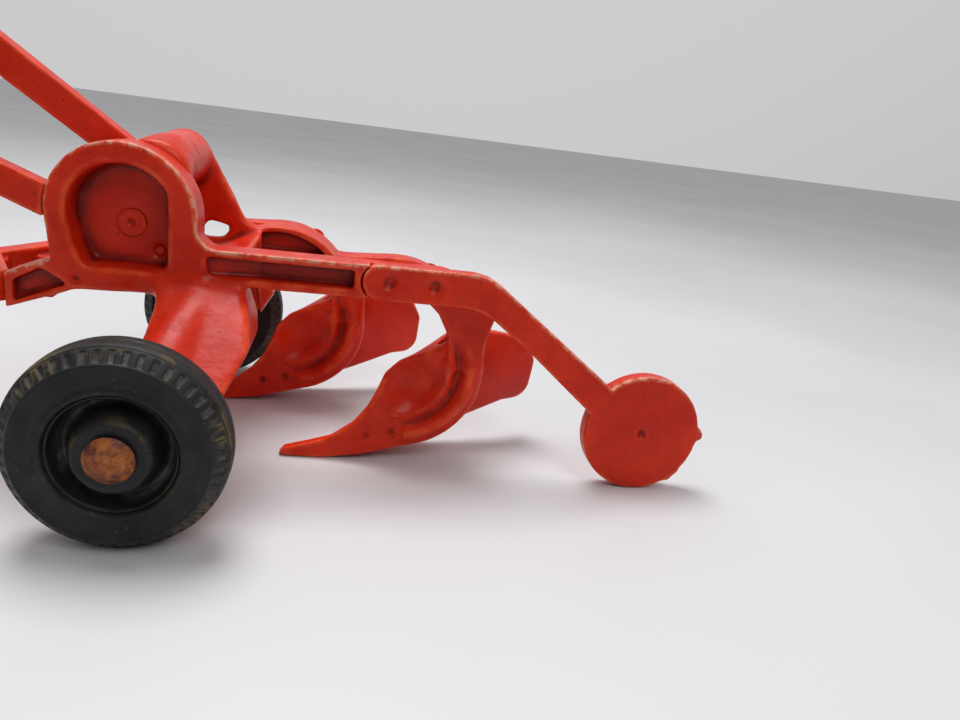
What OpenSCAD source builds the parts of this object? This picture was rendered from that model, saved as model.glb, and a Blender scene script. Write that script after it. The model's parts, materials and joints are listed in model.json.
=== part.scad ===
// Die-cast toy of a two-bottom trailer plow.
// X points to the rear, Y to the furrow side, Z up from the ground; millimetres.
// Each piece is drawn from the middle of the axle line, at ground level,
// and the whole model is then moved so that its box is centred on the origin.

/* [Wheels] */
// Diameter over the tread
wheel_d = 32; // [30:0.5:34]
// Width of the tyre
tyre_w = 9.6; // [8.6:0.2:10.4]
// Distance between the middles of the two tyres
track = 80; // [78:1:84]
// Diameter of the rim recess inside the tyre bead
recess_d = 18; // [17:0.5:19]
// Diameter of the riveted axle pin
axle_d = 4; // [3:0.1:5]
// Diameter of the domed pin head
pin_head_d = 7.2; // [6.4:0.2:8.8]

/* [Frame castings] */
// Height of each beam
beam_h = 6; // [5:0.1:7]
// Thickness of each beam
beam_t = 6; // [5:0.2:7]
// Height of the beam underside above the ground
beam_z = 34.8; // [33:0.2:37]
// Distance from the middle to the outer face of the land beam
land_out = 15; // [14:0.5:17]
// Distance from the middle to the near face of the furrow beam
furrow_in = 13.5; // [12.5:0.5:14.5]
// Outer radius of the lift housing
housing_r = 12; // [11:0.2:13]
// Depth of the lift housing
housing_depth = 8; // [7:0.2:9]

/* [Tail] */
// Radius of the dummy rear furrow wheel
disc_r = 11.9; // [10:0.1:12]
// Thickness of the dummy rear furrow wheel
disc_t = 3.6; // [3:0.2:4.4]
// Distance of the dummy wheel behind the axle line
disc_x = 90.8; // [86:0.2:96]

/* [Bottoms] */
// Thickness of the moldboard
board_t = 2; // [1.6:0.1:2.6]
// Angle of the share edge to the line of travel
share_angle = 28; // [24:1:32]
// Distance of the rear share point behind the axle line
rear_tip_x = 20; // [19:0.5:21]
// How far the front bottom stands ahead of the rear one
bottom_step = 23; // [22:0.5:24]

/* [Hitch and levers] */
// Distance of the hitch eye ahead of the axle line
hitch_x = 66; // [60:1:76]
// Diameter of the hitch eye
eye_d = 4.4; // [3.6:0.2:5]
// Length of the land lever beyond the housing
land_lever_l = 36; // [30:1:44]
// Length of the furrow lever beyond its eye
furrow_lever_l = 60; // [50:1:70]

/* [Hidden] */
$fn = 64;

red = [0.72, 0.13, 0.07];
black = [0.05, 0.05, 0.055];
rust = [0.5, 0.24, 0.1];

wheel_r = wheel_d / 2;
axle_r = axle_d / 2;
running = 0.05;            // radial clearance of a turning fit
seat = 0.02;               // radial clearance of a riveted fit
land_y = -land_out;        // near face of the land casting
land_back = land_y + beam_t;
furrow_back = furrow_in + beam_t;
beam_top = beam_z + beam_h;
leg_end = track / 2 - tyre_w / 2 - 0.6;    // outer face of each leg boss
hub_in = leg_end + 0.3;                    // inner face of each wheel hub
hub_out = track / 2 + tyre_w / 2 + 0.4;    // outer face of each wheel hub

housing = [-6.5, 45];      // centre of the round of the lift housing, X and Z
housing_x = 5.5;           // rear side of the housing
housing_z = 32;            // underside of the housing
housing_back = land_y + housing_depth;
web_t = 2;                 // web at the back of the housing
stud = [-6.2, 43.2];       // main staked stud
dowel = [-1.6, 38.6];      // small stud in the corner of the housing
saddle = [-2.5, 53.4];     // round bar that ties the two castings at the top
saddle_r = 4.8;
neck_r = 2.4;              // its thinner end, which carries the furrow lever
lever_t = 3.8;

rivet_r = 1.3;
rivet_dish = 1.1;          // how far a rivet's near end lies below the surface
arch = [16.6, 26.2];       // centre of the arch at the end of the furrow beam
arch_r = 15.3;
lap_x = 33.4;              // front of the lapped tail plate
lap_t = 3.4;               // thickness of the tail arm
tongue_y = land_y + 3;     // near face of the thinned end of the land beam
tail_rivet_x = [38.3, 46.3];
tail_rivet_z = 38;
standard_t = 5;            // thickness of each standard behind its beam

stub_x = -24.5;            // front end of the two drawbar stubs
stub_t = 5;
yoke_z = 28.8;
yoke_rivet = [-22, 30.9];
yoke_h = 5.2;
eye_r = eye_d / 2;
eye_ring_r = 5;

gate_lip = 1.5;            // stump of the casting gate at the rear of the disc
x_front = -hitch_x - eye_ring_r;
x_rear = disc_x + disc_r + gate_lip;
shift = [-(x_front + x_rear) / 2, 0, 0];

// Draws a flat shape standing in the XZ plane, from y0 to y1.
module plate(y0, y1) {
    translate([0, y1, 0]) rotate([90, 0, 0]) linear_extrude(y1 - y0) children();
}

// A round bar along Y through the point p = [x, z].
module bar(p, r, y0, y1) {
    plate(y0, y1) translate(p) circle(r);
}

// A thick line with round ends from a to b.
module link(a, b, w) {
    d = b - a;
    translate(a) rotate(atan2(d[1], d[0])) {
        circle(w / 2);
        translate([0, -w / 2]) square([norm(d), w]);
        translate([norm(d), 0]) circle(w / 2);
    }
}

// Points on an arc about c, from angle a0 to a1.
function arc(c, r, a0, a1, n) =
    [for (i = [0:n]) c + r * [cos(a0 + (a1 - a0) * i / n), sin(a0 + (a1 - a0) * i / n)]];

// ---------------------------------------------------------------- frame

// The D shape of the lift housing, inset all round by edge.
module housing_shape(edge) {
    r = housing_r - edge;
    translate(housing) circle(r);
    corner = 2.4;
    x0 = housing[0] - r + 1;
    x1 = housing_x - edge;
    z0 = housing_z + edge;
    polygon(concat([[x1, housing[1]], [housing[0] - r, housing[1]], [x0, z0 + 4]],
        arc([x0 + corner + 1, z0 + corner], corner, 200, 270, 8),
        arc([x1 - corner, z0 + corner], corner, 270, 360, 8)));
}

// The leg as it is seen from the side: wide at the frame, narrow at the boss.
module leg_side() {
    polygon([[-1.2, beam_z], [13.4, beam_z], [15, 30.4], [15.9, 26.6], [12.2, 19.6],
        [5.4, 12.8], [0, 11], [-5.2, 13.6], [-4.2, 20], [-1, 26], [-0.4, 31]]);
}

// The leg as it is seen from the front, from its root at distance out to the wheel.
module leg_front(out, wall) {
    polygon([[out - beam_t, beam_z], [out, beam_z - wall], [leg_end - 3, 22.4 - wall],
        [leg_end, 20.6 - wall], [leg_end, 10], [leg_end - 3, 10], [out - beam_t, 28.6]]);
}

// The round upper side of the leg: the part of a cone that stands above its flat top.
module leg_crown(out) {
    root = [6, out - 4, 29.5];
    end = [1.5, leg_end - 2.6, 18];
    d = end - root;
    intersection() {
        translate(root) rotate([0, acos(d[2] / norm(d)), atan2(d[1], d[0])])
            cylinder(h = norm(d), r1 = 7, r2 = 5.6);
        rotate([90, 0, 90]) translate([0, 0, -10]) linear_extrude(30)
            polygon([[out - beam_t, beam_z - 1], [out, beam_z - 1], [leg_end - 3, 21.4],
                [leg_end, 19.6], [leg_end, 40], [out - beam_t, 40]]);
    }
}

// One splayed hollow leg with its axle boss, reaching out towards +Y.
module leg(out) {
    wall = 1.8;
    difference() {
        union() {
            leg_crown(out);
            intersection() {
                plate(out - beam_t, leg_end) leg_side();
                rotate([90, 0, 90]) translate([0, 0, -10]) linear_extrude(30) leg_front(out, 0);
            }
            bar([0, wheel_r], 5.2, leg_end - 9, leg_end);
        }
        difference() {
            translate([0, -wall, -1.4 * wall])
                intersection() {
                    plate(out - beam_t, leg_end - 1) difference() {
                        leg_side();
                        translate([12.4, 0]) square([5, 60]);
                        translate([-8, 0]) square([7.9, 60]);
                    }
                    rotate([90, 0, 90]) translate([0, 0, -10]) linear_extrude(30) leg_front(out, 0);
                }
            bar([0, wheel_r], 5.2, leg_end - 9, leg_end);
        }
        bar([0, wheel_r], axle_r + seat, leg_end - 9.5, leg_end + 1);
    }
}

// One drawbar stub as it is seen from the side, inset by edge.
module stub_shape(edge) {
    polygon([[-15, housing_z - 0.5 + edge], [-19, 36.4 - edge], [stub_x + edge, 34 - edge],
        [stub_x + edge, 28 + edge]]);
}

// The stub with its root, which runs into the casting behind it.
module stub(y0, y1) {
    plate(y0, y1) {
        stub_shape(0);
        polygon([[-17, 31.4], [-9, 32.6], [-9, 36], [-19.2, 36.1]]);
    }
}

module land_frame() {
    color(red) difference() {
        union() {
            plate(land_y, housing_back) housing_shape(0);
            // beam, full thickness up to the lap and thinned behind it
            plate(land_y, land_back) translate([0, beam_z]) square([lap_x + 1.2, beam_h]);
            plate(tongue_y, land_back) {
                translate([lap_x - 1, beam_z]) square([15.6, beam_h]);
                translate([lap_x + 14.6, beam_z + beam_h / 2]) circle(beam_h / 2);
            }
            // fillet between the housing and the beam
            plate(land_y, land_back) difference() {
                translate([housing_x - 1, beam_top - 1]) square([4.4, 4.4]);
                translate([housing_x + 3.4, beam_top + 3.4]) circle(3.4);
            }
            stub(land_y, land_y + stub_t);
            mirror([0, 1, 0]) leg(land_out);
        }
        // open well of the housing
        plate(land_y - 1, housing_back - web_t) difference() {
            housing_shape(3.6);
            translate([-30, 0]) square([60, 36.2]);
            translate([0.7, 0]) square([10, 60]);
        }
        // channel along the beam
        plate(land_y - 1, land_y + 3) translate([housing_x + 1.6, beam_z + 1.4])
            square([lap_x - housing_x - 3, beam_h - 2.6]);
        plate(land_y - 1, land_y + 2) stub_shape(1.2);
        // round seat for the front end of the lapped plate
        plate(land_y - 1, tongue_y) translate([lap_x + beam_h / 2, beam_z + beam_h / 2])
            circle(beam_h / 2 + 0.2);
        bar(stud, 1.6 + seat, land_y, land_back + 3);
        bar(dowel, 0.9 + seat, land_y, land_back + 3);
        for (x = tail_rivet_x) bar([x, tail_rivet_z], rivet_r + seat, land_y - 1, land_back + 1);
        // gate marks under the housing
        for (x = [-13.4, -4.6]) bar([x, housing_z + 2], 0.8, land_y - 1, land_y + 0.7);
        bar(yoke_rivet, 1.2 + seat, land_y + 1.5, land_y + 6);
    }
}

// The arched end of a beam, from x0 back, inset by edge.
module arch_shape(edge, x0) {
    intersection() {
        translate(arch) circle(arch_r - edge);
        translate([x0, beam_z + edge]) square([30, 20]);
    }
}

// The tall bracket as it is seen from the side.
module bracket_shape() {
    polygon(concat([[-13, beam_z - 2.8], [13, beam_z - 2.8], [13, beam_top - 0.6], [9.6, 42]],
        arc(saddle, 5.2, 30, 150, 12),
        [[-9.4, 44], [-13, 38]]));
}

module furrow_frame() {
    color(red) difference() {
        union() {
            plate(furrow_in, furrow_in + 3) bracket_shape();
            bar(saddle, saddle_r, housing_back + lever_t + 0.4, furrow_in + 3);
            bar(saddle, neck_r, housing_back, furrow_in);
            bar(stud, 3.4, housing_back, furrow_in + 1);
            // floor that ties the two castings between the legs
            plate(housing_back, furrow_in + 1)
                polygon([[-12, 32.4], [housing_x + 1, 32.4], [housing_x + 1, 37], [-12, 35.4]]);
            plate(land_back, furrow_in + 1)
                polygon([[housing_x, 32.4], [13.4, 32.4], [13.4, beam_top - 0.6],
                    [9.6, 38.8], [housing_x, 37]]);
            // short beam that carries the front bottom
            plate(furrow_in, furrow_back) arch_shape(0, 8);
            stub(land_out - stub_t, land_out);
            leg(furrow_back);
        }
        // channel of the short beam
        plate(furrow_in - 1, furrow_in + 3) arch_shape(1.3, 9.6);
        // gap under the rear foot of the bracket
        plate(furrow_in - 1, furrow_in + 4) polygon([[0.5, 38], [5.4, 38], [7, 40.4], [2.4, 41.4]]);
        bar(stud, 1.6 + seat, housing_back - 1, housing_back + 8);
        bar(dowel, 0.9 + seat, housing_back - 1, housing_back + 1);
        for (x = tail_rivet_x) bar([x - bottom_step, tail_rivet_z], rivet_r + seat,
            furrow_in + 3 + rivet_dish, furrow_back + 1);
        bar(yoke_rivet, 1.2 + seat, 9, land_out + 1);
    }
}

// A stud whose end is spread over the near side: shank, collar and punch mark.
module staked(p, r, y0, y1) {
    difference() {
        union() {
            bar(p, r, y0, y1);
            bar(p, 1.5 * r, y0 - 0.4, y0);
        }
        bar(p, 0.4 * r, y0 - 1, y0);
    }
}

module frame_studs() {
    web = housing_back - web_t;
    color(red) {
        staked(stud, 1.6, web, web + 9);
        bar(dowel, 0.9, web - 0.3, housing_back);
    }
}

// ---------------------------------------------------------------- levers and hitch

// A flat bar that starts at p, with slot-shaped grip end.
module lever_shape(p, angle, long, w0, w1) {
    translate(p) rotate(angle) {
        polygon(concat([[0, -w0 / 2]], arc([long, 0], w1 / 2, -90, 90, 16), [[0, w0 / 2]]));
    }
}

module land_lever() {
    root = [-17, 45.8];
    color(red) plate(land_y + 0.4, land_y + 0.4 + lever_t) difference() {
        lever_shape(root, 157.5, land_lever_l, 5.2, 4.6);
        housing_shape(0);
    }
}

module furrow_lever() {
    y0 = housing_back + 0.2;
    color(red) difference() {
        plate(y0, y0 + lever_t) {
            translate(saddle) circle(saddle_r - 0.2);
            lever_shape(saddle - [1, 2], 145.1, furrow_lever_l, 5, 5.8);
        }
        bar(saddle, neck_r + seat, y0 - 1, y0 + lever_t + 1);
    }
}

module hitch_yoke() {
    inner = 9.8;
    apex = [-33, 0];
    color(red) difference() {
        union() {
            translate([0, 0, yoke_z]) linear_extrude(yoke_h) {
                for (s = [-1, 1]) link([-26.6, s * (land_out - 2)], apex, 4);
            }
            // ears inside the two stubs
            translate([0, 0, yoke_z]) linear_extrude(yoke_h - 1.6) for (s = [-1, 1])
                translate([-28.5, s > 0 ? inner - 3.4 : -inner]) square([9.5, 3.4]);
            translate([0, 0, yoke_z]) linear_extrude(4) {
                link(apex, [-hitch_x + 6, 0], 6.4);
                translate([-hitch_x, 0]) circle(eye_ring_r);
                translate([-hitch_x, -3.2]) square([6, 6.4]);
            }
            // web under the tongue
            translate([0, 0, yoke_z - 2]) linear_extrude(2.1)
                translate([-hitch_x + 9, -1.2]) square([hitch_x - 42, 2.4]);
        }
        translate([-hitch_x, 0, yoke_z - 3]) cylinder(r = eye_r, h = 12);
        bar(yoke_rivet, 1.2 + seat, -land_out, land_out);
    }
}

module yoke_rivets() {
    color(red) for (s = [-1, 1]) {
        // the land one is dished below the floor of the stub's recess
        bar(yoke_rivet, 1.2, s > 0 ? 6 : 2.6 - land_out, s > 0 ? land_out : -6);
        bar(yoke_rivet, 2, s > 0 ? 5.4 : -6.4, s > 0 ? 6.4 : -5.4);
    }
}

// ---------------------------------------------------------------- tail

// The arm with its bend, as it is seen from the side.
module arm_shape() {
    z1 = beam_top + 0.2;
    z0 = beam_z - 0.1;
    translate([lap_x + 3.2, (z0 + z1) / 2]) circle((z1 - z0) / 2);
    polygon([[lap_x + 3.2, z0], [lap_x + 3.2, z1], [53.8, beam_top + 0.1], [56.4, beam_top - 0.5],
        [59, beam_top - 2], [disc_x - 7.4, 20.6], [disc_x - 10.4, 14.8], [65.6, 27],
        [58, 32.6], [55.4, 34], [52.6, z0 - 0.1]]);
}

module tail_arm() {
    disc_z = disc_r + 0.1;
    y0 = tongue_y - lap_t;
    color(red) difference() {
        union() {
            plate(y0, tongue_y) arm_shape();
            bar([disc_x, disc_z], disc_r, y0 + 0.2, y0 + 0.2 + disc_t);
            // rough stumps left where the casting gates were snapped off
            plate(y0 + 0.6, y0 + 3) {
                translate([disc_x, disc_z]) polygon([[disc_r - 1, 2.6], [disc_r + 0.6, 1.7],
                    [disc_r + gate_lip, 0.5], [disc_r + gate_lip, -0.5], [disc_r - 0.2, -1.6]]);
                translate([disc_x, disc_z]) rotate(-50) polygon([[disc_r - 1, 3.4],
                    [disc_r + 0.5, 2.4], [disc_r + 0.9, -0.6], [disc_r - 1, -3.2]]);
            }
        }
        translate([disc_x, y0 - 0.2, disc_z]) sphere(1.1);
        for (x = tail_rivet_x) bar([x, tail_rivet_z], rivet_r + seat, y0 - 1, tongue_y + 1);
    }
}

// Rivets through a beam: dished on the near side, headed behind the standard.
module rivet_row(x0, y0, y1) {
    for (x = tail_rivet_x) {
        bar([x + x0, tail_rivet_z], rivet_r, y0 + rivet_dish, y1);
        bar([x + x0, tail_rivet_z], rivet_r + 0.8, y1, y1 + 0.8);
    }
}

module tail_rivets() {
    color(red) rivet_row(0, tongue_y - lap_t, land_back + standard_t);
}

module front_rivets() {
    color(red) rivet_row(-bottom_step, furrow_in + 3, furrow_back + standard_t);
}

// ---------------------------------------------------------------- bottoms

board_r = 27;              // radius of the moldboard curve
board_z = 20;              // height of its centre
board_set = sqrt(board_r * board_r - board_z * board_z) - board_t - 0.7;
frog = [22, 20];           // centre of the round frog, from the share point
bowl_r = 12;               // sphere that forms the shallow bowl of the frog
bowl_depth = 1.5;

// Outline of the moldboard as it is seen from the land side.
module board_outline() {
    polygon(concat([[-2, 0.3], [17, 0.3], [27, 3], [37, 6.2], [46, 9.4]],
        arc([48.4, 13.4], 4, 290, 360, 6),
        [[52.6, 19], [50, 24], [39, 26.6], [31, 26], [22, 21], [18.6, 18.8], [14, 19.6], [-2, 6]]));
}

// Curved moldboard and share: a slice of a round shell whose axis follows the share edge.
module moldboard() {
    intersection() {
        rotate([0, 0, share_angle]) rotate([90, 0, 90]) translate([0, 0, -20])
            linear_extrude(90) translate([board_set, board_z]) difference() {
                circle(board_r, $fn = 128);
                circle(board_r - board_t, $fn = 128);
                translate([0, -2 * board_r]) square([2 * board_r, 4 * board_r]);
            }
        plate(0, 40) board_outline();
    }
}

// Land side of the bottom: the shin curve, the point and the round frog.
module landside_outline() {
    polygon(concat([[0, 0.3], [1, 1.6], [5, 2.8], [10, 4.4], [14, 7.6], [16.6, 11.2], [18.2, 14.8], [19.4, 18.2],
        [22, 21], [31, 25.6], [37, 25.6]],
        arc(frog, 16.9, 0, -70, 16), [[16, 1], [8, 0]]));
}

// One plow bottom; its share point is at the origin and its beam is beam_y away.
module plow_bottom() {
    head_y = -1;
    difference() {
        union() {
            moldboard();
            plate(0, 2.4) landside_outline();
            // frog ribs that run down from the standard
            plate(-0.8, 4) intersection() {
                difference() {
                    translate(frog) circle(15);
                    translate(frog) circle(12.9);
                }
                translate([24, 0]) square([20, 24]);
            }
            plate(-0.8, 3.4) intersection() {
                difference() {
                    translate(frog) circle(10.3);
                    translate(frog) circle(8.4);
                }
                translate([21, 8]) square([20, 14]);
            }
            // standard with its round-ended head behind the beam
            plate(head_y, head_y + standard_t)
                polygon([[24.6, beam_z], [28.4, 31.4], [30.8, 27], [31.4, 20], [38.6, 20],
                    [38.2, 27], [40.4, beam_z], [33, beam_z + 1], [28, beam_z + 1]]);
            plate(head_y, head_y + standard_t) intersection() {
                translate([bottom_step - rear_tip_x, 0] + arch) circle(arch_r);
                translate([17, beam_z + 0.1]) square([17, 12]);
            }
        }
        // bowl of the frog
        translate([25.2, bowl_depth - bowl_r, 16.4]) sphere(bowl_r);
        // bolt dimples
        for (p = [[16.8, 5.2], [21.6, 6.2]]) bar(p, 0.9, -1, 0.8);
        for (x = tail_rivet_x) bar([x - rear_tip_x, tail_rivet_z], rivet_r + seat, head_y - 1, 10);
    }
}

module rear_bottom() {
    color(red) translate([rear_tip_x, land_back + 1, 0]) plow_bottom();
}

module front_bottom() {
    color(red) translate([rear_tip_x - bottom_step, furrow_back + 1, 0]) plow_bottom();
}

// ---------------------------------------------------------------- wheels

// Turns children, drawn about the Z axis, on to the wheel line; +Z becomes the outer side.
module on_axle(side) {
    translate([0, side * track / 2, wheel_r]) rotate([side > 0 ? -90 : 90, 0, 0]) children();
}

module axle_pin(side) {
    gap = 0.3;
    head_z = hub_out - track / 2 + gap;
    inner_z = leg_end - track / 2 - 9;
    dome_r = 4.8;
    dome_h = dome_r - sqrt(dome_r * dome_r - pin_head_d * pin_head_d / 4);
    color(rust) on_axle(side) {
        translate([0, 0, inner_z]) cylinder(r = axle_r, h = head_z - inner_z);
        translate([0, 0, head_z]) cylinder(r = pin_head_d / 2, h = 0.5);
        translate([0, 0, head_z + 0.5]) intersection() {
            cylinder(r = pin_head_d / 2, h = dome_h);
            translate([0, 0, dome_h - dome_r]) sphere(dome_r);
        }
    }
}

module wheel_centre(side) {
    rim_r = recess_d / 2;
    half = tyre_w / 2;
    top = hub_out - track / 2;
    bottom = hub_in - track / 2;
    color(black) on_axle(side) rotate_extrude() polygon([
        [axle_r + running, bottom], [5, bottom], [6, -2], [rim_r - 1.2, -2], [rim_r - 1, -half + 0.6],
        [rim_r, -half + 0.6], [rim_r, half - 0.8], [rim_r - 0.8, half - 0.8], [rim_r - 1.2, 0.9],
        [rim_r - 1.8, 0.4], [6.5, 0.8], [6.1, 2.6], [5.4, top - 0.6], [4.8, top],
        [axle_r + running, top]]);
}

module tyre(side) {
    r0 = recess_d / 2 + 0.01;
    half = tyre_w / 2;
    color(black) on_axle(side) rotate_extrude() polygon(concat(
        [[r0, -half + 0.5], [r0 + 0.8, -half - 0.1], [r0 + 1.8, -half + 0.2], [wheel_r - 2.6, -half]],
        [[wheel_r - 1.2, -half + 1], [wheel_r - 0.3, -half + 2.2], [wheel_r, -1.2], [wheel_r, 1.2],
            [wheel_r - 0.3, half - 2.2], [wheel_r - 1.2, half - 1]],
        [[wheel_r - 2.6, half], [r0 + 1.8, half - 0.2], [r0 + 0.8, half + 0.1], [r0, half - 0.5]]));
}

translate(shift) land_frame();
translate(shift) furrow_frame();
translate(shift) frame_studs();
translate(shift) land_lever();
translate(shift) furrow_lever();
translate(shift) hitch_yoke();
translate(shift) yoke_rivets();
translate(shift) tail_arm();
translate(shift) tail_rivets();
translate(shift) rear_bottom();
translate(shift) front_bottom();
translate(shift) front_rivets();
translate(shift) axle_pin(-1);  // land_pin
translate(shift) axle_pin(1);  // furrow_pin
translate(shift) wheel_centre(-1);  // land_wheel
translate(shift) wheel_centre(1);  // furrow_wheel
translate(shift) tyre(-1);  // land_tyre
translate(shift) tyre(1);  // furrow_tyre
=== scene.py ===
"""Looks of the die-cast toy trailer plow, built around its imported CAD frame."""
import json
import math
import random

import bpy
import numpy as np
from mathutils import Matrix, Vector


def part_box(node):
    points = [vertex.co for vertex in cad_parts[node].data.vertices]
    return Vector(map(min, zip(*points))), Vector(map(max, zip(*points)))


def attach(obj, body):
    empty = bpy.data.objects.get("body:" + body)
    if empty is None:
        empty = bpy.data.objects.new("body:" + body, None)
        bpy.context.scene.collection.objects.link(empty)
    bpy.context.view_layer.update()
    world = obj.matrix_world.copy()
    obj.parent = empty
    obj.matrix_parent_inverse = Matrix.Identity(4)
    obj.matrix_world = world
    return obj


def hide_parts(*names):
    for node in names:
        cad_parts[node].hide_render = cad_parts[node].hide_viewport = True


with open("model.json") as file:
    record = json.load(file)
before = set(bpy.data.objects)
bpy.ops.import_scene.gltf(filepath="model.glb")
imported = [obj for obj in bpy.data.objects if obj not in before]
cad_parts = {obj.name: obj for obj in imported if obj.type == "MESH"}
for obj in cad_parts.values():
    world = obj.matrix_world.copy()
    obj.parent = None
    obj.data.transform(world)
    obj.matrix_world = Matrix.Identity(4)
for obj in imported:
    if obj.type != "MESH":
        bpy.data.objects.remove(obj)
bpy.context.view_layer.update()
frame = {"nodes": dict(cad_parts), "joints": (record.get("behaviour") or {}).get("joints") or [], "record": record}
MM = 0.001
AXLE_X = frame["joints"][0]["pos_m"][0] / MM


def at(x, y, z):
    """A point in metres from millimetres about the middle of the axle line."""
    return np.array([x + AXLE_X, y, z]) * MM


# ---------------------------------------------------------------- materials


class Shader:
    """Builds one Principled material from noise and from the mesh's own wear and shade attributes."""

    def __init__(self, name):
        self.mat = bpy.data.materials.new(name)
        self.mat.use_nodes = True
        self.tree = self.mat.node_tree
        self.bsdf = self.tree.nodes["Principled BSDF"]
        self.coord = self.node("ShaderNodeTexCoord").outputs["Object"]

    def node(self, kind, **props):
        """A new shader node with some properties set."""
        made = self.tree.nodes.new(kind)
        for key, value in props.items():
            setattr(made, key, value)
        return made

    def wire(self, value, socket):
        """Links a socket, or sets a plain value."""
        if isinstance(value, bpy.types.NodeSocket):
            self.tree.links.new(value, socket)
        else:
            socket.default_value = value

    def noise(self, size_mm, detail=3.0, rough=0.5):
        """Noise with spots of about size_mm, in the piece's own coordinates."""
        n = self.node("ShaderNodeTexNoise")
        self.wire(self.coord, n.inputs["Vector"])
        n.inputs["Scale"].default_value = 1 / (size_mm * MM)
        n.inputs["Detail"].default_value = detail
        n.inputs["Roughness"].default_value = rough
        return n.outputs["Fac"]

    def attribute(self, name):
        return self.node("ShaderNodeAttribute", attribute_name=name).outputs["Fac"]

    def math(self, kind, a, b=0.0):
        n = self.node("ShaderNodeMath", operation=kind)
        self.wire(a, n.inputs[0])
        self.wire(b, n.inputs[1])
        return n.outputs[0]

    def step(self, value, low, high, out_low=0.0, out_high=1.0):
        """A smooth step of value from low to high."""
        n = self.node("ShaderNodeMapRange", interpolation_type="SMOOTHSTEP")
        self.wire(value, n.inputs["Value"])
        n.inputs["From Min"].default_value = low
        n.inputs["From Max"].default_value = high
        n.inputs["To Min"].default_value = out_low
        n.inputs["To Max"].default_value = out_high
        return n.outputs["Result"]

    def mix(self, share, a, b):
        """Colour a, with share of colour b over it."""
        n = self.node("ShaderNodeMix", data_type="RGBA")
        self.wire(share, n.inputs[0])
        for value, socket in ((a, n.inputs[6]), (b, n.inputs[7])):
            self.wire(value if isinstance(value, bpy.types.NodeSocket) else (*value, 1), socket)
        return n.outputs[2]

    def bump(self, layers):
        """Stacks bumps, each (height socket, depth in mm)."""
        normal = None
        for height, depth in layers:
            n = self.node("ShaderNodeBump")
            n.inputs["Strength"].default_value = 1
            n.inputs["Distance"].default_value = depth * MM
            self.wire(height, n.inputs["Height"])
            if normal is not None:
                self.wire(normal, n.inputs["Normal"])
            normal = n.outputs["Normal"]
        self.wire(normal, self.bsdf.inputs["Normal"])

    def finish(self, colour, roughness, **constant):
        self.wire(colour, self.bsdf.inputs["Base Color"])
        self.wire(roughness, self.bsdf.inputs["Roughness"])
        for key, value in constant.items():
            self.bsdf.inputs[key.replace("_", " ")].default_value = value
        return self.mat


def enamel(name, light, dark):
    """Thick red enamel over a rough casting, rubbed pale on its edges, and dirty and darkened with painted shade
    in its corners and recesses.
    """
    grime_and_shade, shade, thin_coat, bare_metal, pit = ((0.09, 0.004, 0.004), (0.12, 0.004, 0.004),
                                                (0.80, 0.085, 0.022), (0.72, 0.40, 0.27),
                                                (0.10, 0.012, 0.008))
    s = Shader(name)
    edge, cavity = s.attribute("edge"), s.attribute("cavity")
    tone = s.step(s.noise(9, 4, 0.6), 0.3, 0.7)
    paint = s.mix(tone, dark, light)
    mottle = s.step(s.noise(1.3, 5, 0.6), 0.35, 0.75, 0.0, 0.25)
    paint = s.mix(mottle, paint, tuple(0.6 * c for c in dark))
    # dirt and painted shade together: the hollow corners go darker, in noisy patches
    dirt_and_shade = s.math("MULTIPLY", s.step(cavity, 0.25, 1.0), s.step(s.noise(2.5, 5), 0.3, 0.7, 0.25, 0.75))
    paint = s.mix(dirt_and_shade, paint, grime_and_shade)
    # painted shade: the deep recesses are darkened towards a dark maroon
    paint = s.mix(s.step(s.attribute("hollow"), 0.1, 0.9, 0.0, 0.72), paint, shade)
    thin = s.math("MULTIPLY", s.step(edge, 0.35, 1.0), s.step(s.noise(4, 4), 0.36, 0.66, 0.0, 0.8))
    paint = s.mix(thin, paint, thin_coat)
    flash = s.attribute("flash")
    rubbed = s.math("MULTIPLY", flash, s.step(s.noise(1.6, 6, 0.65), 0.40, 0.58, 0.05, 0.8))
    paint = s.mix(rubbed, paint, bare_metal)
    speck = s.step(s.noise(0.55, 2, 0.4), 0.72, 0.77)
    paint = s.mix(speck, paint, pit)
    rough = s.step(s.noise(3, 5, 0.6), 0.3, 0.75, 0.30, 0.50)
    rough = s.math("MAXIMUM", rough, s.math("MULTIPLY", s.math("MAXIMUM", dirt_and_shade, rubbed), 0.65))
    s.bump([(s.noise(3.0, 3), 0.13), (s.noise(0.8, 3), 0.03), (speck, -0.05)])
    return s.finish(paint, rough, Coat_Weight=0.08, Coat_Roughness=0.16, Specular_IOR_Level=0.17)


def rusty(name):
    """Rust over a bare pin head, with dark purple scale."""
    dark_rust, light_rust, purple_scale, pale_glint = ((0.24, 0.046, 0.009), (0.46, 0.14, 0.024),
                                                       (0.075, 0.018, 0.014), (0.50, 0.26, 0.10))
    s = Shader(name)
    rust = s.mix(s.step(s.noise(1.6, 6, 0.7), 0.35, 0.65), dark_rust, light_rust)
    scale = s.step(s.noise(2.3, 6, 0.72), 0.42, 0.66)
    rust = s.mix(scale, rust, purple_scale)
    glint = s.step(s.noise(0.35, 3), 0.62, 0.72, 0.0, 0.4)
    rust = s.mix(glint, rust, pale_glint)
    rough = s.step(scale, 0, 1, 0.62, 0.36)
    s.bump([(s.noise(0.9, 6, 0.7), 0.16), (s.noise(0.25, 3), 0.03)])
    return s.finish(rust, rough, Metallic=0.25)


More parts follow.
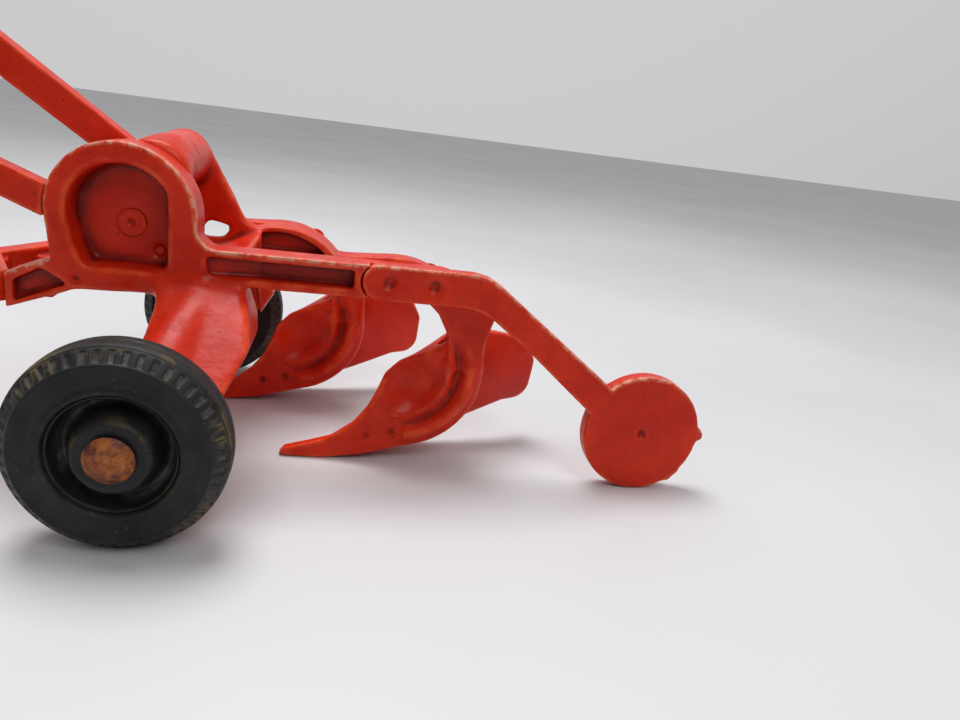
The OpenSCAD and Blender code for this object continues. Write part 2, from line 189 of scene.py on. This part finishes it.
def rubber(name, base, gloss, dusty):
    """Hard black rubber, grey on its high spots and stained with yellow-brown dust in its corners."""
    worn_grey, brown_dust, pale_mote = (0.11, 0.105, 0.095), (0.17, 0.115, 0.035), (0.22, 0.20, 0.17)
    s = Shader(name)
    edge, cavity = s.attribute("edge"), s.attribute("cavity")
    colour = s.mix(s.step(s.noise(6, 4), 0.3, 0.7), base, tuple(1.9 * c for c in base))
    scuff = s.math("MULTIPLY", s.step(edge, 0.2, 0.9), s.step(s.noise(2.0, 5), 0.3, 0.7, 0.1, 0.8))
    colour = s.mix(scuff, colour, worn_grey)
    dust = s.math("MULTIPLY", s.step(cavity, 0.25, 1.0), s.step(s.noise(5, 5, 0.65), 0.48, 0.68, 0.03, dusty))
    colour = s.mix(dust, colour, brown_dust)
    motes = s.step(s.noise(0.4, 2), 0.70, 0.76, 0.0, 0.4)
    colour = s.mix(motes, colour, pale_mote)
    rough = s.step(s.noise(2.5, 5), 0.3, 0.7, gloss, gloss + 0.2)
    rough = s.math("MAXIMUM", rough, s.math("MULTIPLY", s.math("MAXIMUM", dust, motes), 0.9))
    s.bump([(s.noise(1.2, 4), 0.05), (s.noise(0.3, 3), 0.012)])
    return s.finish(colour, rough, Specular_IOR_Level=0.28)


def floor_finish():
    s = Shader("pale_floor")
    tone = s.mix(s.step(s.noise(160, 3), 0.3, 0.7), (0.62, 0.62, 0.63), (0.68, 0.68, 0.69))
    s.bump([(s.noise(1.5, 3), 0.01)])
    return s.finish(tone, 0.55)


LIGHT_RED = (0.72, 0.030, 0.005)
DARK_RED = (0.56, 0.016, 0.003)
RED = enamel("red_enamel", LIGHT_RED, DARK_RED)
RUST = rusty("rusty_pin")
TYRE = rubber("black_tyre", (0.010, 0.010, 0.011), 0.46, 0.7)
CENTRE = rubber("black_centre", (0.008, 0.008, 0.009), 0.36, 0.3)

# ---------------------------------------------------------------- meshes


def new_object(name, points, faces):
    mesh = bpy.data.meshes.new(name)
    mesh.from_pydata([tuple(p) for p in points], [], [tuple(f) for f in faces])
    mesh.validate()
    obj = bpy.data.objects.new(name, mesh)
    bpy.context.scene.collection.objects.link(obj)
    return obj


def coordinates(mesh):
    co = np.zeros(len(mesh.vertices) * 3)
    mesh.vertices.foreach_get("co", co)
    return co.reshape(-1, 3)


def edges_of(mesh):
    pairs = np.zeros(len(mesh.edges) * 2, np.int64)
    mesh.edges.foreach_get("vertices", pairs)
    return pairs.reshape(-1, 2)


def normals_of(mesh):
    n = np.zeros(len(mesh.vertices) * 3)
    mesh.vertex_normals.foreach_get("vector", n)
    return n.reshape(-1, 3)


def relaxed(co, pairs, rounds, weight=1.0):
    """Moves every point towards the mean of its neighbours, rounds times."""
    a, b = pairs[:, 0], pairs[:, 1]
    count = len(co)
    degree = np.bincount(pairs.ravel(), minlength=count)[:, None]
    co = co.copy()
    share = 0.5 * (weight[:, None] if isinstance(weight, np.ndarray) else weight)
    for _ in range(rounds):
        total = np.stack([np.bincount(a, co[b, k], count) + np.bincount(b, co[a, k], count)
                          for k in range(co.shape[1])], axis=1)
        co += share * (total / degree - co)
    return co


def blob(co, centre, radii):
    """1 inside an ellipsoid, falling to 0 at one and a half times its size."""
    d = np.linalg.norm((co - at(*centre)) / (np.array(radii) * MM), axis=1)
    return np.clip((1.5 - d) / 0.5, 0, 1)


def set_attribute(mesh, name, values):
    a = mesh.attributes.get(name) or mesh.attributes.new(name, "FLOAT", "POINT")
    a.data.foreach_set("value", values.astype(np.float32))


DEEP_MM = 1.6          # depth of a recess that gets the full shade
BOX_SLACK = 0.0003     # how far a casting may stand past its CAD box, in m
TIP_SPARED = 0.85      # share of the rounding that a sharp tip is spared


def outermost(co, level):
    """True on points at the top of their column, or at the end of their row above level, in mm."""
    slack, step = 0.5 * MM, 0.4 * MM
    columns = np.floor((co[:, 0] - co[:, 0].min()) / step).astype(int)
    rows = np.floor((co[:, 2] - co[:, 2].min()) / step).astype(int)
    top, last = np.full(columns.max() + 1, -np.inf), np.full(rows.max() + 1, -np.inf)
    first = np.full(rows.max() + 1, np.inf)
    np.maximum.at(top, columns, co[:, 2])
    np.minimum.at(first, rows, co[:, 0])
    np.maximum.at(last, rows, co[:, 0])
    end = (co[:, 0] > last[rows] - slack) | (co[:, 0] < first[rows] + slack)
    return (co[:, 2] > top[columns] - slack) | (end & (co[:, 2] > level * MM))


def wear_and_shade_attributes(mesh, reach=10, full_mm=0.05, flash=None, deep=0):
    """Marks convex edges, hollow corners, deep recesses and the pale line worn along the outer near edge.

    flash holds the two Y limits of that line and the height above which ends count, in mm;
    deep is how many rounds of smoothing find the recesses."""
    co, pairs, n = coordinates(mesh), edges_of(mesh), normals_of(mesh)
    bend = np.einsum("ij,ij->i", co - relaxed(co, pairs, reach), n) / (full_mm * MM)
    edge, cavity = np.clip(bend, 0, 1), np.clip(-bend, 0, 1)
    set_attribute(mesh, "edge", edge)
    set_attribute(mesh, "cavity", cavity)
    sunk = np.einsum("ij,ij->i", relaxed(co, pairs, deep) - co, n) / (DEEP_MM * MM)
    set_attribute(mesh, "hollow", np.clip(sunk, 0, 1))
    line = np.zeros(len(co))
    if flash is not None:
        band = np.flatnonzero((co[:, 1] > flash[0] * MM) & (co[:, 1] < flash[1] * MM))
        line[band] = edge[band] * outermost(co[band], flash[2])
        line = relaxed(line[:, None], pairs, 1)[:, 0]
    set_attribute(mesh, "flash", line)


def dress(obj, node, material):
    """Gives a finished piece its material in a slot, smooth shading and its body, and hides the CAD node that it
    stands for.
    """
    obj.data.materials.clear()
    obj.data.materials.append(material)
    obj.data.polygons.foreach_set("use_smooth", np.ones(len(obj.data.polygons), bool))
    bodies = frame["record"]["behaviour"]["bodies"]
    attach(obj, next(body for body, members in bodies.items() if node in members))
    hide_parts(node)


def cad_skin(name, node, extras):
    """A new object with the closed surface of a CAD node, and of any extra (points, faces)."""
    mesh = frame["nodes"][node].data
    points = [tuple(v.co) for v in mesh.vertices]
    faces = [tuple(p.vertices) for p in mesh.polygons]
    for extra_points, extra_faces in extras:
        base = len(points)
        points += [tuple(p) for p in extra_points]
        faces += [tuple(base + i for i in f) for f in extra_faces]
    return new_object(name, points, faces)


def cast(name, node, voxel=0.3, rounds=5, soft=(), extras=(), flash=None, tip=None, press=None, deep=0):
    """A casting: the CAD solid with its edges rounded, and more so inside the soft blobs.

    soft holds (centre, radii, rounds); tip is a blob that keeps its shape; press(x, y, z), in
    mm about the axle line, gives how far the surface moves towards the furrow side."""
    obj = cad_skin(name, node, extras)
    skin = obj.modifiers.new("skin", "REMESH")
    skin.mode = "VOXEL"
    skin.voxel_size = voxel * MM
    graph = bpy.context.evaluated_depsgraph_get()
    mesh = bpy.data.meshes.new_from_object(obj.evaluated_get(graph))
    obj.modifiers.clear()
    obj.data = mesh
    mesh.name = name
    co, pairs = coordinates(mesh), edges_of(mesh)
    keep = 1 - TIP_SPARED * blob(co, *tip) if tip else 1.0
    co = relaxed(co, pairs, rounds, keep)
    for centre, radii, more in soft:
        co = relaxed(co, pairs, more, blob(co, centre, radii) * keep)
    if press:
        local = co / MM - (AXLE_X, 0, 0)
        co[:, 1] += press(local[:, 0], local[:, 1], local[:, 2]) * MM
    low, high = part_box(node)
    co = np.clip(co, np.array(low) - BOX_SLACK, np.array(high) + BOX_SLACK)
    mesh.vertices.foreach_set("co", co.ravel())
    mesh.update()
    wear_and_shade_attributes(mesh, flash=flash, deep=round(deep / voxel ** 2))
    dress(obj, node, RED)


def bulk(centre, radius, y0, y1, end=None, end_radius=None, sides=64):
    """A closed round bar or cone along Y, in mm about the axle line: metal or paint that fills a gap."""
    rings = ((centre, radius, y0), (end or centre, end_radius or radius, y1))
    turns = [2 * math.pi * i / sides for i in range(sides)]
    points = [at(c[0] + r * math.cos(t), y, c[1] + r * math.sin(t)) for c, r, y in rings for t in turns]
    ring = [(i, (i + 1) % sides, sides + (i + 1) % sides, sides + i) for i in range(sides)]
    return points, ring + [tuple(range(sides))[::-1], tuple(range(sides, 2 * sides))]


def hill(distance, half_width):
    """1 in the middle of a soft bump and 0 at three times its half width."""
    return np.exp(-(distance / half_width) ** 2)


def beam_channel(x, y, z):
    """Makes the channel of the land beam run out shallow at its front end."""
    depth = np.clip(y + 14.6, 0, None) * np.clip((-9 - y) / 1.5, 0, 1)
    inside = np.clip((z - 35.4) / 0.8, 0, 1) * np.clip((40.4 - z) / 0.8, 0, 1)
    along = np.clip(x - 6.2, 0, 1) * np.clip((16 - x) / 10, 0, 1)
    return -0.75 * depth * inside * along


# near and far limit of the worn line and the height above which ends count, in mm
LAND_FLASH = (-16.0, -13.2, 41.6)
# soft places of the castings: centre, radii in mm and rounds of smoothing
WELL = ((-7.5, -12, 43), (10, 5, 10), 45)
LAND_LEG = ((6, -22, 24), (11, 12, 13), 30)
LEG_ROOT = ((5, -15.5, 33), (9, 4, 4), 50)
FURROW_LEG = ((6, 26, 24), (11, 12, 13), 30)
SADDLE = ((-2, 0, 52), (9, 9, 8), 60)
SADDLE_END = ((-2, 13, 52), (9, 4, 6), 30)
FLOOR_EDGE = ((8, 8, 40), (9, 12, 5), 30)
LEVER_EYE = ((-2, -5, 53.4), (4, 4, 4), 160)
# the saddle bar, the wide end of its cone in the housing, and places of rivets, all in mm
BAR, BAR_R = (-2.3, 53.3), 5.05
CONE_END, CONE_R = (-3.3, 50.5), 6.9
BEAM_RIVETS = (38.3, 46.3)
RIVET_Z = 38
YOKE_RIVET = (-22, 30.9)
DOWEL = (-1.6, 38.6)
cast("land_casting", "land_frame", soft=[LEG_ROOT, WELL, LAND_LEG], flash=LAND_FLASH, deep=27,
     press=beam_channel, extras=[bulk(YOKE_RIVET, 1.35, -13.03, -12)])
cast("furrow_casting", "furrow_frame", soft=[FURROW_LEG, SADDLE, SADDLE_END, FLOOR_EDGE], deep=18,
     extras=[bulk(CONE_END, CONE_R, -8.6, -2.2, BAR, BAR_R), bulk(BAR, BAR_R, -2.4, 13.8)])
cast("castings_studs", "frame_studs", voxel=0.15, rounds=12,
     press=lambda x, y, z: 0.42 * (np.hypot(x - DOWEL[0], z - DOWEL[1]) < 2))
cast("land_depth_lever", "land_lever", voxel=0.25, rounds=4)
cast("furrow_depth_lever", "furrow_lever", voxel=0.25, rounds=4, soft=[LEVER_EYE])
cast("drawbar_yoke", "hitch_yoke", voxel=0.3, rounds=5)
cast("drawbar_rivets", "yoke_rivets", voxel=0.15, rounds=3)


def lap_dimples(x, y, z):
    """The two punched dimples over the rivets of the lapped plate."""
    near = np.clip((-13.2 - y) / 0.8, 0, 1)
    return 0.45 * near * sum(hill(np.hypot(x - rx, z - RIVET_Z), 1.25) for rx in BEAM_RIVETS)


cast("tail_arm_and_disc", "tail_arm", voxel=0.28, rounds=4, flash=LAND_FLASH, press=lap_dimples,
     extras=[bulk((x, RIVET_Z), 1.4, -14.9, -13) for x in BEAM_RIVETS],
     soft=[((x, -15, RIVET_Z), (2.2, 1.5, 2.2), 16) for x in BEAM_RIVETS])
cast("tail_arm_rivets", "tail_rivets", voxel=0.15, rounds=3)
cast("front_standard_rivets", "front_rivets", voxel=0.15, rounds=3)


def frog_press(tip_x, near_y):
    """Deepens the bowl of a bottom, and the groove between its two frog ribs."""
    def press(x, y, z):
        u = x - tip_x
        reach = np.clip(1 - (y - near_y) / 4.5, 0, 1)
        out = np.hypot(u - 22, z - 20)
        turn = np.degrees(np.arctan2(z - 20, u - 22))
        curl = np.clip((turn + 92) / 30, 0, 1) * np.clip((40 - turn) / 45, 0, 1)
        bowl = 1.3 * hill(np.hypot((u - 25) / 1.05, z - 16.6), 4.6)
        fold = 0.55 * hill(out - 11.7, 1.0) - 0.45 * hill(out - 9.5, 1.1) - 0.5 * hill(out - 14.2, 1.4)
        root = 0.75 * hill(out - 11.7, 1.4) * np.clip((z - 17) / 6, 0, 1) * np.clip((31 - z) / 8, 0, 1)
        return reach * (bowl + curl * fold + root)
    return press


def wedge(x0, x1, y0, y1, z0, top0, top1):
    """A closed block, in mm about the axle line, whose top slopes from top0 at x0 to top1 at x1."""
    points = [at(x, y, z) for x, top in ((x0, top0), (x1, top1)) for y in (y0, y1) for z in (z0, top)]
    return points, [(0, 1, 3, 2), (4, 6, 7, 5), (0, 4, 5, 1), (2, 3, 7, 6), (0, 2, 6, 4), (1, 5, 7, 3)]


REAR_TIP = (20, -8)
FRONT_TIP = (-3, 20.5)
for label, (tip_x, tip_y) in (("rear", REAR_TIP), ("front", FRONT_TIP)):
    bowl_side = ((tip_x + 27, tip_y + 1, 14), (13, 5, 12), 22)
    rib_end = ((tip_x + 38.5, tip_y + 1, 20), (2.5, 4, 4), 40)
    head_top = ((tip_x + 17, tip_y + 1.5, 41.5), (4, 4, 1.6), 12)
    head_front = wedge(tip_x + 8.5, tip_x + 18, tip_y - 0.9, tip_y + 3.9, 38, 40.8, 41.4)
    cast(label + "_plow_bottom", label + "_bottom", voxel=0.26, rounds=8, deep=14, extras=[head_front],
         soft=[bowl_side, rib_end, head_top], tip=((tip_x, tip_y, 0), (7, 4, 3)),
         press=frog_press(tip_x, tip_y - 0.5))

# ---------------------------------------------------------------- wheels


def chaikin(points, times):
    """Rounds the corners of an open profile and keeps its two ends."""
    p = [np.array(q, float) for q in points]
    for _ in range(times):
        cut = [p[0]]
        for a, b in zip(p[:-1], p[1:]):
            cut += [0.75 * a + 0.25 * b, 0.25 * a + 0.75 * b]
        p = cut + [p[-1]]
    return p


def turned(name, centre, side, profile, segments, sink=None):
    """Turns a closed or pole-to-pole profile of (radius, distance outward), in mm, about a wheel's axis.

    sink(angle, radius, out) gives how far a point drops towards the axis, in mm."""
    closed = np.allclose(profile[0], profile[-1])
    rings = profile[:-1] if closed else profile
    points, faces = [], []
    for i in range(segments):
        t = 2 * math.pi * i / segments
        for r, out in rings:
            q = r - (sink(t, r, out) if sink else 0)
            points.append((centre[0] + q * MM * math.cos(t), centre[1] + side * out * MM,
                           centre[2] + q * MM * math.sin(t)))
    count = len(rings)
    for i in range(segments):
        j = (i + 1) % segments
        for k in range(count if closed else count - 1):
            m = (k + 1) % count
            face = (i * count + k, i * count + m, j * count + m, j * count + k)
            faces.append(face if side > 0 else face[::-1])
    obj = new_object(name, points, faces)
    if not closed:
        weld = obj.modifiers.new("weld", "WELD")
        weld.merge_threshold = 1e-6
        graph = bpy.context.evaluated_depsgraph_get()
        mesh = bpy.data.meshes.new_from_object(obj.evaluated_get(graph))
        obj.modifiers.clear()
        obj.data = mesh
    return obj


HALF = 4.8                         # from the middle of a tyre to its sidewall, in mm
LUGS = 48                          # lugs around each shoulder
LUG_INNER, LUG_OUTER = 2.75, 4.45  # where they begin and end, from the middle, in mm
GROOVE = 0.5                       # depth of the grooves between them, in mm
BORE = 2.05                        # radius of the hole in a wheel centre, in mm
DENTS = 9                          # dents in a pin head
DENT_DEPTH = 0.12


def reach_of(node, centre, side):
    """How far a node reaches outward and inward from the middle of its wheel, in mm."""
    low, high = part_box(node)
    return ((high[1] - centre[1]) / MM, (centre[1] - low[1]) / MM)[::side]


def tyre(label, side, centre, tread, bead):
    """A tyre with lugs on both shoulders and a smooth band with a parting line between them."""

    def tread_sink(t, r, out):
        """Grooves between the lugs, which are closed at both ends."""
        phase = (t * LUGS / (2 * math.pi)) % 1
        gap = min(1, max(0, (abs(phase - 0.5) - 0.24) / 0.09))
        ends = min(1, max(0, (abs(out) - LUG_INNER) / 0.3)) * min(1, max(0, (LUG_OUTER - abs(out)) / 0.25))
        return GROOVE * gap * ends if r > tread - 2.5 else 0

    side_wall = [(bead - 0.1, HALF - 1.6), (bead + 0.1, HALF - 0.5), (bead + 0.35, HALF - 0.02),
                 (bead + 0.8, HALF + 0.1), (bead + 1.3, HALF - 0.12), (bead + 2.0, HALF - 0.25),
                 (tread - 3.4, HALF - 0.2), (tread - 2.75, HALF - 0.12), (tread - 2.55, HALF + 0.02),
                 (tread - 2.3, HALF - 0.06), (tread - 2.15, HALF - 0.3)]
    shoulder = [(tread - 2.1, LUG_OUTER), (tread - 1.98, LUG_OUTER - 0.1), (tread - 1.85, LUG_OUTER - 0.25),
                (tread - 1.5, 3.9), (tread - 1.1, 3.5), (tread - 0.75, 3.15),
                (tread - 0.62, LUG_INNER + 0.25), (tread - 0.52, LUG_INNER + 0.1), (tread - 0.46, LUG_INNER)]
    crown = [(tread - 0.5, 2.6), (tread - 0.45, 2.5), (tread - 0.2, 2.3), (tread - 0.06, 1.6),
             (tread - 0.01, 0.6), (tread - 0.01, 0.25), (tread - 0.16, 0.1)]
    outer = chaikin(side_wall, 2) + shoulder + chaikin(crown, 1)
    profile = outer + [np.array((r, -out)) for r, out in outer[::-1]]
    profile.append(profile[0])
    obj = turned(label + "_rubber_tyre", centre, side, profile, LUGS * 12, tread_sink)
    wear_and_shade_attributes(obj.data, reach=6, full_mm=0.035)
    dress(obj, label + "_tyre", TYRE)


def wheel_centre(label, side, centre, bead):
    """A dished wheel centre with a raised hub."""
    out_y, in_y = reach_of(label + "_wheel", centre, side)
    face = [(BORE, out_y - 0.6), (BORE + 0.4, out_y - 0.1), (4.2, out_y - 0.1), (4.8, out_y - 0.02),
            (5.4, out_y - 0.2), (5.9, out_y - 1.0), (6.2, out_y - 2.2), (6.5, 1.5), (6.9, 0.8),
            (bead - 1.5, 0.5), (bead - 1.0, 1.1), (bead - 0.7, 2.4), (bead - 0.4, HALF - 0.8),
            (bead - 0.05, HALF - 0.65)]
    back = [(bead - 0.05, HALF - 1.2), (bead - 0.05, -HALF + 1.0), (bead - 0.3, -HALF + 0.7),
            (bead - 0.8, -HALF + 0.7), (bead - 1.0, -HALF + 1.2), (bead - 1.2, -2.1), (5.9, -2.05),
            (5.1, -2.6), (5.0, -in_y + 0.3), (4.6, -in_y + 0.02), (BORE + 0.3, -in_y + 0.02),
            (BORE, -in_y + 0.4)]
    profile = chaikin(face, 2) + chaikin(back, 2)
    profile.append(profile[0])
    obj = turned(label + "_wheel_centre", centre, side, profile, 160)
    wear_and_shade_attributes(obj.data, reach=6, full_mm=0.03)
    dress(obj, label + "_wheel", CENTRE)


def axle_pin(label, side, centre):
    """A pin with a dented dome for a head, which stands clear of the hub."""
    low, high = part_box(label + "_pin")
    head_r = (high[0] - low[0]) / 2 / MM
    head_out, shank_in = reach_of(label + "_pin", centre, side)
    hub_out = reach_of(label + "_wheel", centre, side)[0]
    dome = [(0, head_out - 0.05), (1.2, head_out - 0.08), (2.4, head_out - 0.5),
            (head_r - 0.8, head_out - 1.15), (head_r - 0.15, head_out - 1.7), (head_r, hub_out + 0.55),
            (head_r - 0.2, hub_out + 0.3), (2.4, hub_out + 0.28), (2.0, hub_out)]
    shank = [(2.0, 0), (2.0, 0.2 - shank_in), (1.8, -shank_in), (0, -shank_in)]
    profile = chaikin(dome, 2) + [np.array(q) for q in shank]
    obj = turned(label + "_axle_pin", centre, side, profile, 96)
    wobble = random.Random(label)
    dents = [(wobble.uniform(0, 2 * math.pi), wobble.uniform(0.6, 3.4), wobble.uniform(0.5, 1.2))
             for _ in range(DENTS)]
    co = coordinates(obj.data)
    rest = (co - np.array(centre)) / MM
    head = side * rest[:, 1] > hub_out + 0.4
    for t, r, size in dents:
        away = np.hypot(rest[:, 0] - r * math.cos(t), rest[:, 2] - r * math.sin(t)) / size
        co[:, 1] -= np.where(head, side * DENT_DEPTH * MM * np.exp(-away ** 2), 0)
    obj.data.vertices.foreach_set("co", co.ravel())
    obj.data.update()
    wear_and_shade_attributes(obj.data, reach=4, full_mm=0.03)
    dress(obj, label + "_pin", RUST)


def wheel(label, side):
    low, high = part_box(label + "_tyre")
    centre = tuple((low[i] + high[i]) / 2 for i in range(3))
    hub_low, hub_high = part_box(label + "_wheel")
    bead = (hub_high[0] - hub_low[0]) / 2 / MM
    tyre(label, side, centre, (high[0] - low[0]) / 2 / MM, bead)
    wheel_centre(label, side, centre, bead)
    axle_pin(label, side, centre)


wheel("land", -1)
wheel("furrow", 1)

# ---------------------------------------------------------------- stage


def floor():
    """A plain square floor, 6 m wide."""
    half = 3.0
    obj = new_object("floor", [(-half, -half, 0), (half, -half, 0), (half, half, 0), (-half, half, 0)],
                     [(0, 1, 2, 3)])
    obj.data.materials.append(floor_finish())


def area_light(name, place, target, size, power):
    """A round soft light; places and size are in metres, power in watts."""
    light = bpy.data.lights.new(name, "AREA")
    light.shape = "DISK"
    light.size = size
    light.energy = power
    obj = bpy.data.objects.new(name, light)
    bpy.context.scene.collection.objects.link(obj)
    obj.location = place
    obj.rotation_euler = (Vector(target) - Vector(place)).to_track_quat("-Z", "Y").to_euler()


def camera():
    """The camera, from its place and its heading, downward pitch and roll in radians."""
    heading, pitch, roll = 0.19339, 0.30014, 0.1316
    flat = Vector((math.sin(heading), math.cos(heading), 0))
    ahead = flat * math.cos(pitch) - Vector((0, 0, math.sin(pitch)))
    level = Vector((math.cos(heading), -math.sin(heading), 0))
    above = level.cross(ahead)
    right = level * math.cos(roll) + above * math.sin(roll)
    up = right.cross(ahead)
    data = bpy.data.cameras.new("camera")
    data.lens = 28.566
    data.sensor_width = 36
    data.clip_start = 0.01
    data.clip_end = 50
    obj = bpy.data.objects.new("camera", data)
    bpy.context.scene.collection.objects.link(obj)
    rows = [(right[k], up[k], -ahead[k]) for k in range(3)]
    place = at(30.13, -148.25, 66.98)
    obj.matrix_world = Matrix([(*rows[k], place[k]) for k in range(3)] + [(0, 0, 0, 1)])
    bpy.context.scene.camera = obj


def studio():
    """A soft room that is brighter overhead and behind the object than in front of it."""
    world = bpy.data.worlds.new("studio")
    world.use_nodes = True
    tree = world.node_tree
    background = tree.nodes["Background"]
    coord = tree.nodes.new("ShaderNodeTexCoord")
    slope = tree.nodes.new("ShaderNodeVectorMath")
    slope.operation = "DOT_PRODUCT"
    slope.inputs[1].default_value = (0, 0.8, 0.6)
    tree.links.new(coord.outputs["Generated"], slope.inputs[0])
    reach = tree.nodes.new("ShaderNodeMapRange")
    reach.interpolation_type = "SMOOTHSTEP"
    for key, value in (("From Min", -0.3), ("From Max", 0.9), ("To Min", 0.16), ("To Max", 0.64)):
        reach.inputs[key].default_value = value
    tree.links.new(slope.outputs["Value"], reach.inputs["Value"])
    background.inputs["Color"].default_value = (0.95, 0.95, 0.97, 1)
    tree.links.new(reach.outputs["Result"], background.inputs["Strength"])
    bpy.context.scene.world = world


floor()
camera()
area_light("key_overhead", (-0.06, 0.12, 0.60), (0.01, 0.0, 0.03), size=0.34, power=2.8)
area_light("front_high", (0.16, -0.36, 0.42), (0.02, 0.0, 0.03), size=0.26, power=0.7)
studio()
bpy.context.scene.view_settings.view_transform = "Standard"
